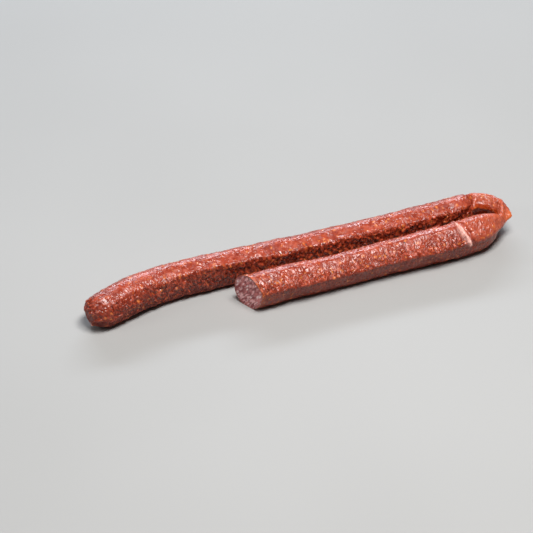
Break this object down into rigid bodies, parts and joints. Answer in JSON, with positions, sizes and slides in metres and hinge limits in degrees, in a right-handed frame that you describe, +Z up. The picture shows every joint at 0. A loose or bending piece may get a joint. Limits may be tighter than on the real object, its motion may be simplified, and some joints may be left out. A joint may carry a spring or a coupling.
{
  "type": "cured sausage",
  "caption": "Dried sausage in natural casing, folded into two legs with a loop at the fold; one end is tied and rounded, the other cut at a slant to show the meat.",
  "frame": {"origin": "middle of the bounding box, on the plane that the sausage lies on", "axes": "+X along the legs towards the fold, +Y towards the long leg, +Z up"},
  "size_m": [0.3762, 0.0688, 0.0314],
  "materials": {
    "casing": "wrinkled natural casing, semi-gloss, slightly oily"
  },
  "bodies": {
    "root": {"sausage": "casing"}
  },
  "joints": []
}
